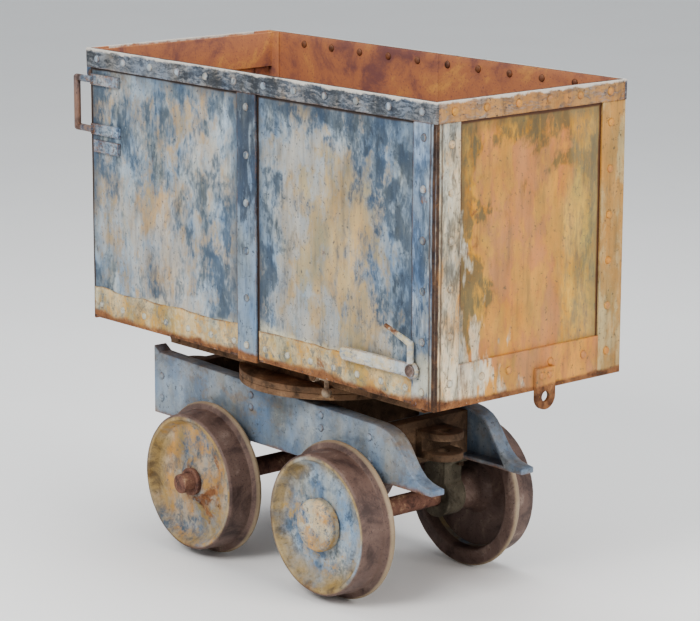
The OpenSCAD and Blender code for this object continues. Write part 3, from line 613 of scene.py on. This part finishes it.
OLIVE_YELLOW = dict(
    Light=(0.60, 0.40, 0.10, 1), Middle=(0.33, 0.24, 0.08, 1), Deep=(0.13, 0.125, 0.095, 1),
    Bare=(0.50, 0.235, 0.03, 1), Bare_Share=0.28, Rust_Share=0.0, Deep_Share=0.36, Dab_Size=0.05,
    Stretch=3.2, Streaks=0.8)
inner_rust = bare_rust("inner_rust", *ORE_RUST.values())
for number, (side, toward_ore) in enumerate((("near", (0, 1, 0)), ("far", (0, -1, 0)))):
    for part, values, seen_part in (("front", FRONT_SIDE, side_zone(box_front, strap_low)),
                                    ("rear", REAR_SIDE, side_zone(strap_high, angle_front))):
        name = f"side_{side}_{part}"
        paint = old_paint(name + "_paint", 11.0 + 18.0 * (part == "rear") + 7.0 * number,
                          **dict(values, **seen_part))
        finish_piece(name, "box", two_faced(paint, toward_ore), round_mm=0.8, cell=0.02,
                     batter=True)
rear_plate = old_paint("rear_plate_ochre", 41.0, **dict(END_OCHRE, **END_ZONE))
rear_plate = lay_over(rear_plate, 43.0, olive_border, **dict(OLIVE_YELLOW, **END_ZONE))
rear_plate = lay_over(rear_plate, 44.0, cream_corner, **ANGLE_CREAM)
finish_piece("rear_end_plate", "box", two_faced(rear_plate, (-1, 0, 0)), round_mm=0.8, cell=0.02,
             batter=True)
for name in ("floor_plate", "floor_angles", "door_jambs"):
    finish_piece(name, "box", inner_rust, round_mm=1.0)

# ---- Wear strips along the foot -----------------------------------------------------------
# Thin steel strips lapped over the foot of each side plate and held by its row of rivets.
# Their upper edges have lifted and torn, and most of their paint is pale chalky undercoat.
STRIP_CHALK = dict(
    Light=(0.50, 0.46, 0.33, 1), Middle=(0.31, 0.31, 0.26, 1), Deep=(0.095, 0.10, 0.095, 1),
    Bare=(0.47, 0.28, 0.07, 1), Bare_Share=0.42, Rust_Share=0.16, Deep_Share=0.30, Dab_Size=0.035,
    Stretch=1.2, Foot=box_foot, Foot_Height=0.022, Streaks=0.5)
strip_thick = 0.0016
strip_tall = 0.074
strip_low = box_foot + 0.006
strip_tear = 0.007
strip_lift = 0.0022
for number, (side, out_y) in enumerate((("near", -1.0), ("far", 1.0))):
    for part, start, end in (("front", box_front + 0.004, strap_low - 0.002),
                             ("rear", strap_high + 0.006, angle_front - 0.002)):
        steps = 64
        strip = bmesh.new()
        rings = []
        for step in range(steps + 1):
            x = start + (end - start) * step / steps
            torn = noise.fractal(Vector((x * 9.0, 3.0 + number, 7.0)), 1.0, 2.0, 3) * strip_tear
            lift = abs(noise.noise(Vector((x * 13.0, 5.0 + number, 2.0)))) * strip_lift
            top = strip_low + strip_tall + torn
            face = battering(Vector((x, out_y * box_half_w, top))).y + out_y * box_half_w
            foot_face = battering(Vector((x, out_y * box_half_w, strip_low))).y + out_y * box_half_w
            outer = face + out_y * (strip_thick + lift)
            rings.append([strip.verts.new(corner) for corner in (
                (x, foot_face, strip_low), (x, foot_face + out_y * strip_thick, strip_low),
                (x, (foot_face + out_y * strip_thick) * 0.5 + outer * 0.5 - out_y * lift * 0.35,
                 strip_low + strip_tall * 0.6), (x, outer, top), (x, face, top))])
        for one, two in zip(rings, rings[1:]):
            for corner in range(5):
                after = (corner + 1) % 5
                strip.faces.new((one[corner], one[after], two[after], two[corner]))
        strip.faces.new(rings[0])
        strip.faces.new(rings[-1])
        bmesh.ops.recalc_face_normals(strip, faces=strip.faces)
        mesh = bpy.data.meshes.new(f"foot_strip_{side}_{part}")
        strip.to_mesh(mesh)
        strip.free()
        chalk = old_paint(f"foot_chalk_{side}_{part}", 101.0 + 5 * number + len(part), **STRIP_CHALK)
        mesh.materials.append(chalk)
        mesh.shade_smooth()
        mesh.set_sharp_from_angle(angle=radians(35))
        piece = bpy.data.objects.new(f"foot_strip_{side}_{part}", mesh)
        scene.collection.objects.link(piece)
        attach(piece, "box")

# ---- Straps, corner angles, foot band and rim ---------------------------------------------
# Flat bar and angle iron riveted over the plates' seams and edges. The strap over the side
# seam is dark slate, the near rear angle pale, and the rim is dark with a bright top edge.
strap_paint = old_paint(
    "strap_slate", 53.0, Light=(0.20, 0.25, 0.31, 1), Middle=(0.085, 0.12, 0.17, 1),
    Deep=(0.025, 0.037, 0.060, 1), Bare=(0.20, 0.26, 0.33, 1), Bare_Share=0.02, Centre_Bare=1.5, Border=0.62,
    High=(9, 9, rim_foot), Rust_Share=0.05, Deep_Share=0.46, Foot=box_foot, Foot_Height=0.02, Dab_Size=0.05,
    Stretch=3.0, Streaks=0.8)
CORNER_BLUE = dict(
    Light=(0.28, 0.35, 0.44, 1), Middle=(0.12, 0.175, 0.255, 1), Deep=(0.036, 0.056, 0.088, 1),
    Bare=(0.40, 0.36, 0.26, 1), Bare_Share=0.14, Rust_Share=0.10, Deep_Share=0.30, Foot=box_foot,
    Foot_Height=0.03, Pale_Height=0.10, Pale_Share=0.6, Dab_Size=0.05, Stretch=3.6, Streaks=0.8)
corner_paint = old_paint("corner_blue", 61.0, **CORNER_BLUE)
end_paint = lay_over(old_paint("end_ochre", 47.0, **END_OCHRE), 48.0, cream_corner, **ANGLE_CREAM)
tan_paint = old_paint("far_angle_tan", 49.0, **dict(
    END_OCHRE, Light=(0.50, 0.41, 0.23, 1), Middle=(0.29, 0.215, 0.11, 1), Deep=(0.085, 0.07, 0.045, 1),
    Bare=(0.40, 0.22, 0.07, 1)))


def facing_back(own):
    return faces(own, (1.0, 0.0, 0.0), 0.5, 0.8)


bend_x, bend_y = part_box("corner_angle_near")[1].x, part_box("corner_angle_near")[0].y


def rusted_bend(under):
    """Rust has opened a double dark line along the bend of the near rear angle."""
    own = under.node_tree
    from_bend = math(own, "MAXIMUM", minus(own, bend_x, coordinate(own, "X")),
                     minus(own, coordinate(own, "Y"), bend_y))
    wobble = cloud(own, here(own), 18.0, 4.0)["Fac"]
    from_bend = plus(own, from_bend, times(own, wobble, 0.006))
    wide_line = ease(own, math(own, "ABSOLUTE", minus(own, from_bend, 0.009)), 0.008, 0.003)
    fine_line = ease(own, math(own, "ABSOLUTE", minus(own, from_bend, 0.022)), 0.005, 0.001)
    line = math(own, "MAXIMUM", wide_line, times(own, fine_line, 0.7))
    tones = put(own, "ShaderNodeGroup", dict(
        Dark=(0.022, 0.012, 0.010, 1), Middle=(0.062, 0.032, 0.020, 1), Bright=(0.17, 0.085, 0.035, 1),
        Scale=30.0), node_tree=rusting)
    return cover(under, line, tones.outputs["Color"])


for side in ("near", "far"):
    finish_piece("seam_strap_" + side, "box", strap_paint, round_mm=1.0, cell=0.03, batter=True)
angle_paint = old_paint("corner_blue_and_cream", 63.0, **CORNER_BLUE)
angle_paint = rusted_bend(lay_over(angle_paint, 67.0, facing_back, **ANGLE_CREAM))
finish_piece("corner_angle_near", "box", angle_paint, round_mm=1.0, cell=0.03, batter=True)
finish_piece("corner_angle_far", "box", tan_paint, round_mm=1.0, cell=0.03, batter=True)
finish_piece("rear_band", "box", end_paint, round_mm=1.0, cell=0.03, batter=True)

rim_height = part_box("rim_rear")[1].z
RIM_SLATE = dict(
    Light=(0.21, 0.225, 0.245, 1), Middle=(0.078, 0.092, 0.112, 1), Deep=(0.022, 0.027, 0.036, 1),
    Bare=(0.27, 0.22, 0.17, 1), Bare_Share=0.14, Rust_Share=0.08, Deep_Share=0.36, Dab_Size=0.05,
    Stretch=0.28, Streaks=0.5)
PALE_TOP = (0.60, 0.56, 0.50, 1)


def pale_top_edge(under):
    """The rim's upper edge is bright cream along its top few millimetres, with a ragged lower border."""
    own = under.node_tree
    below = minus(own, rim_height, coordinate(own, "Z"))
    top_wobble = minus(own, cloud(own, here(own), 24.0, 6.0, 0.7)["Fac"], 0.5)
    ragged = plus(own, below, times(own, top_wobble, 0.03))
    return cover(under, times(own, ease(own, ragged, 0.008, 0.002), 0.85), PALE_TOP)


into_the_box = {"near": (0, 1, 0), "far": (0, -1, 0), "rear": (-1, 0, 0), "front": (1, 0, 0)}
for number, (side, toward_ore) in enumerate(into_the_box.items()):
    rim_paint = old_paint(f"rim_{side}_slate", 71.0 + number, **RIM_SLATE)
    if side == "rear":
        rim_paint = lay_over(rim_paint, 77.0, facing_back, **dict(
            RIM_SLATE, Bare=(0.42, 0.22, 0.08, 1), Bare_Share=0.62, Middle=(0.17, 0.15, 0.13, 1)))
    rim_paint = pale_top_edge(two_faced(rim_paint, toward_ore))
    finish_piece("rim_" + side, "box", rim_paint, round_mm=1.6, cell=0.03, batter=True,
                 rough_mm=1.2)

# ---- Rivets -------------------------------------------------------------------------------
# Steel rivets with button heads, hammered up hot over the seams and painted with the plates
# that they hold. Those that show inside the box have gone to rust.
RIVET_PALE = dict(
    CORNER_BLUE, Light=(0.33, 0.375, 0.41, 1), Middle=(0.17, 0.21, 0.25, 1), Dab_Size=0.03, Bare_Share=0.25,
    Rust_Share=0.14)


def near_angle(own):
    return ease(own, coordinate(own, "Y"), angle_inside + 0.004, angle_inside)


def in_the_box(own):
    half = math(own, "ABSOLUTE", coordinate(own, "Y"))
    return times(own, ease(own, half, box_half_w, box_half_w - 0.002),
                 ease(own, coordinate(own, "X"), box_rear + 0.002, box_rear))


def on_the_end(own):
    return ease(own, coordinate(own, "X"), box_rear + 0.001, box_rear + 0.003)


rivet_paint = old_paint("rivet_pale_blue", 87.0, **RIVET_PALE)
finish_piece("rivets_near", "box", rivet_paint, round_mm=0.0, batter=True, smooth=60)
finish_piece("rivets_far", "box", rivet_paint, round_mm=0.0, batter=True, smooth=60)
end_rivets = lay_over(old_paint("rivet_ochre", 88.0, **END_OCHRE), 89.0, near_angle, **ANGLE_CREAM)
end_rivets = lay_over(end_rivets, 96.0, cream_corner, **ANGLE_CREAM)
finish_piece("rivets_rear", "box", end_rivets, round_mm=0.0, batter=True, smooth=60)
top_rivets = lay_over(old_paint("rivet_rim", 90.0, **RIVET_PALE), 91.0, in_the_box, **dict(
    RIVET_PALE, Light=(0.20, 0.09, 0.05, 1), Middle=(0.11, 0.045, 0.03, 1), Deep=(0.04, 0.02, 0.014, 1),
    Bare=(0.16, 0.07, 0.04, 1)))
top_rivets = lay_over(top_rivets, 92.0, on_the_end, **END_OCHRE)
finish_piece("rim_rivets", "box", top_rivets, round_mm=0.0, batter=True, smooth=60)

# ---- Bearers, hinge lugs and rear lug -----------------------------------------------------
# Bars under the floor that rest on the saddle, the lugs that turn on the hinge pin, and the
# strap with an eye below the rear end.
# Bearers and hinge lugs take the rust painted darker, as shade under the floor
for name in ("box_bearers", "box_hinge_lugs"):
    finish_piece(name, "box", rust_with_painted_shade, round_mm=2.0)
finish_piece("rear_lug", "box", end_paint, round_mm=1.2, batter=True)

# ---- Handles, lever and side lug ----------------------------------------------------------
# Forged grab handles at the door end, a riveted lug below the near one, and the flat lever
# with its bent horn on a stud near the rear corner.
pale_paint = old_paint(
    "lever_pale", 83.0, Light=(0.47, 0.49, 0.49, 1), Middle=(0.27, 0.30, 0.33, 1),
    Deep=(0.10, 0.11, 0.13, 1), Bare=(0.50, 0.42, 0.26, 1), Bare_Share=0.3, Rust_Share=0.12, Deep_Share=0.2,
    Dab_Size=0.03, Stretch=0.5)
FORGED_BLUE = dict(
    CORNER_BLUE, Light=(0.30, 0.36, 0.42, 1), Middle=(0.14, 0.175, 0.225, 1), Bare=(0.22, 0.13, 0.085, 1),
    Bare_Share=0.34, Rust_Share=0.20, Dab_Size=0.03, Stretch=0.6, Pale_Height=0.0)
forged_paint = old_paint("forged_blue", 95.0, **FORGED_BLUE)
handle_iron = bare_rust(
    "handle_iron", (0.06, 0.04, 0.035, 1), (0.17, 0.12, 0.10, 1), (0.36, 0.36, 0.38, 1), 26.0)
handle_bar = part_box("grab_handle_near")[0].x


def bare_bar(own):
    return ease(own, coordinate(own, "X"), handle_bar + 0.040, handle_bar + 0.026)


handle_paint = lay_over(old_paint("handle_straps", 94.0, **FORGED_BLUE), 93.0, bare_bar, **dict(
    RIVET_PALE, Light=(0.20, 0.13, 0.11, 1), Middle=(0.105, 0.062, 0.052, 1), Deep=(0.04, 0.028, 0.026, 1),
    Bare=(0.22, 0.12, 0.07, 1)))
for side in ("near", "far"):
    finish_piece("grab_handle_" + side, "box", handle_paint, round_mm=1.2)
finish_piece("side_lug_near", "box", forged_paint, round_mm=1.5)
finish_piece("lever_stud", "box", handle_iron, round_mm=1.0)
finish_piece("side_lever", "lever", pale_paint, round_mm=1.2)

# ---- Door ---------------------------------------------------------------------------------
# One steel plate that closes the front end. It hangs from a rod under the rim by three straps,
# riveted to it and rolled into a knuckle round the rod.
door_paint = old_paint("door_blue", 37.0, **FRONT_SIDE)
finish_piece("door_plate", "door", two_faced(door_paint, (1, 0, 0)), round_mm=1.0, cell=0.06)
finish_piece("door_straps", "door", corner_paint, round_mm=1.2)
finish_piece("door_rivets", "door", corner_paint, round_mm=0.0, smooth=60)
finish_piece("door_hinge_rod", "box", handle_iron, round_mm=1.0)
finish_piece("door_brackets", "box", corner_paint, round_mm=1.2)

# ---- Wheels -------------------------------------------------------------------------------
# Cast wheels with a dished face. The face keeps blue-grey paint with ochre rust in the dish,
# and the tread and flange are bare brown iron, polished dull by the rail.
WHEEL_FACE = dict(
    Light=(0.29, 0.345, 0.395, 1), Middle=(0.125, 0.18, 0.255, 1), Deep=(0.05, 0.07, 0.095, 1),
    Bare=(0.40, 0.25, 0.075, 1), Bare_Share=0.15, Rust_Share=0.10, Deep_Share=0.30, Foot_Height=0.05,
    Dab_Size=0.055, Stretch=1.1, Streaks=0.2, Tints=1.6)
rear_wheel_paint = old_paint("rear_wheel_face", 97.0, **WHEEL_FACE)
front_wheel_paint = old_paint("front_wheel_face", 99.0, **dict(
    WHEEL_FACE, Light=(0.30, 0.33, 0.34, 1), Bare=(0.37, 0.215, 0.065, 1), Bare_Share=0.42, Rust_Share=0.22))


def wheel_finish(name, face_paint, hub, tread_radius, outward, face_y):
    """Painted face with ochre in its dish; bare iron on the tread, the inner side and behind the face; pale
    rubbed edges, and a painted highlight round the flange's outer edge.
    """
    made = face_paint.copy()
    made.name = name
    own = made.node_tree
    from_hub = vector(own, "SUBTRACT", here(own), (hub.x, 0.0, hub.z))
    flat = vector(own, "MULTIPLY", from_hub, (1.0, 0.0, 1.0))
    from_axle = put(own, "ShaderNodeVectorMath", {0: flat}, operation="LENGTH").outputs["Value"]
    dish = times(own, ease(own, from_axle, tread_radius - 0.066, tread_radius - 0.024), 0.85)
    dish = times(own, dish, ease(own, cloud(own, here(own), 8.0, 5.0)["Fac"], 0.36, 0.6))
    ochre = put(own, "ShaderNodeGroup", {"Dark": (0.13, 0.085, 0.035, 1), "Middle": (0.34, 0.235, 0.09, 1),
                                         "Bright": (0.50, 0.39, 0.21, 1), "Scale": 18.0}, node_tree=rusting)
    cover(made, dish, ochre.outputs["Color"])
    bare = math(own, "MAXIMUM", ease(own, from_axle, tread_radius - 0.010, tread_radius - 0.003),
                faces(own, (0.0, -outward, 0.0), 0.15, 0.5))
    behind_face = math(own, "ABSOLUTE", minus(own, coordinate(own, "Y"), face_y))
    bare = math(own, "MAXIMUM", bare, ease(own, behind_face, 0.058, 0.062))
    iron = put(own, "ShaderNodeGroup", {"Dark": (0.062, 0.040, 0.036, 1), "Middle": (0.145, 0.096, 0.080, 1),
                                        "Bright": (0.27, 0.20, 0.165, 1), "Scale": 12.0}, node_tree=rusting)
    cover(made, bare, iron.outputs["Color"])
    # Pale rub on the edges of the face, with a painted highlight along the flange's outer edge
    rubbed = put(own, "ShaderNodeGroup", {"Width": 0.006, "Break Up": 24.0}, node_tree=edges).outputs["Mask"]
    flange_edge_highlight = ease(own, from_axle, tread_radius + 0.015, tread_radius + 0.021)
    lip_wear_and_flange_highlight = math(own, "MAXIMUM", times(own, rubbed, 0.6), times(own, flange_edge_highlight, 0.45))
    return cover(made, lip_wear_and_flange_highlight, (0.47, 0.38, 0.24, 1))


# The bores are worn wider than the axles that they turn on
axle_low, axle_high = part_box("axle_front")
axle_radius = (axle_high[0] - axle_low[0]) / 2
bore_reach = 1.12
bore_play = 0.0008
flange_height = 0.022
for end, face_paint in (("front", front_wheel_paint), ("rear", rear_wheel_paint)):
    for side, outward in (("near", -1.0), ("far", 1.0)):
        name = f"wheel_{end}_{side}"
        low, high = (Vector(corner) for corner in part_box(name))
        hub = (low + high) / 2
        tread_radius = (high.x - low.x) / 2 - flange_height
        face_y = low.y if side == "near" else high.y
        finish = wheel_finish(name + "_finish", face_paint, hub, tread_radius, outward, face_y)
        wheel = finish_piece(name, f"wheel_{end[0]}{side[0]}", finish, round_mm=1.5,
                             cell=0.03, rough_mm=0.8, smooth=50)
        for vert in wheel.data.vertices:
            from_axle = Vector((vert.co.x - hub.x, 0.0, vert.co.z - hub.z))
            if from_axle.length < axle_radius * bore_reach:
                vert.co += from_axle.normalized() * bore_play
cap_paint = old_paint("hub_cap_cream", 98.0, **dict(
    WHEEL_FACE, Light=(0.46, 0.43, 0.34, 1), Bare=(0.42, 0.25, 0.08, 1), Bare_Share=0.32, Dab_Size=0.03))
for side in ("near", "far"):
    finish_piece("hub_cap_" + side, "wheel_r" + side[0], cap_paint, round_mm=2.0, rough_mm=0.6)
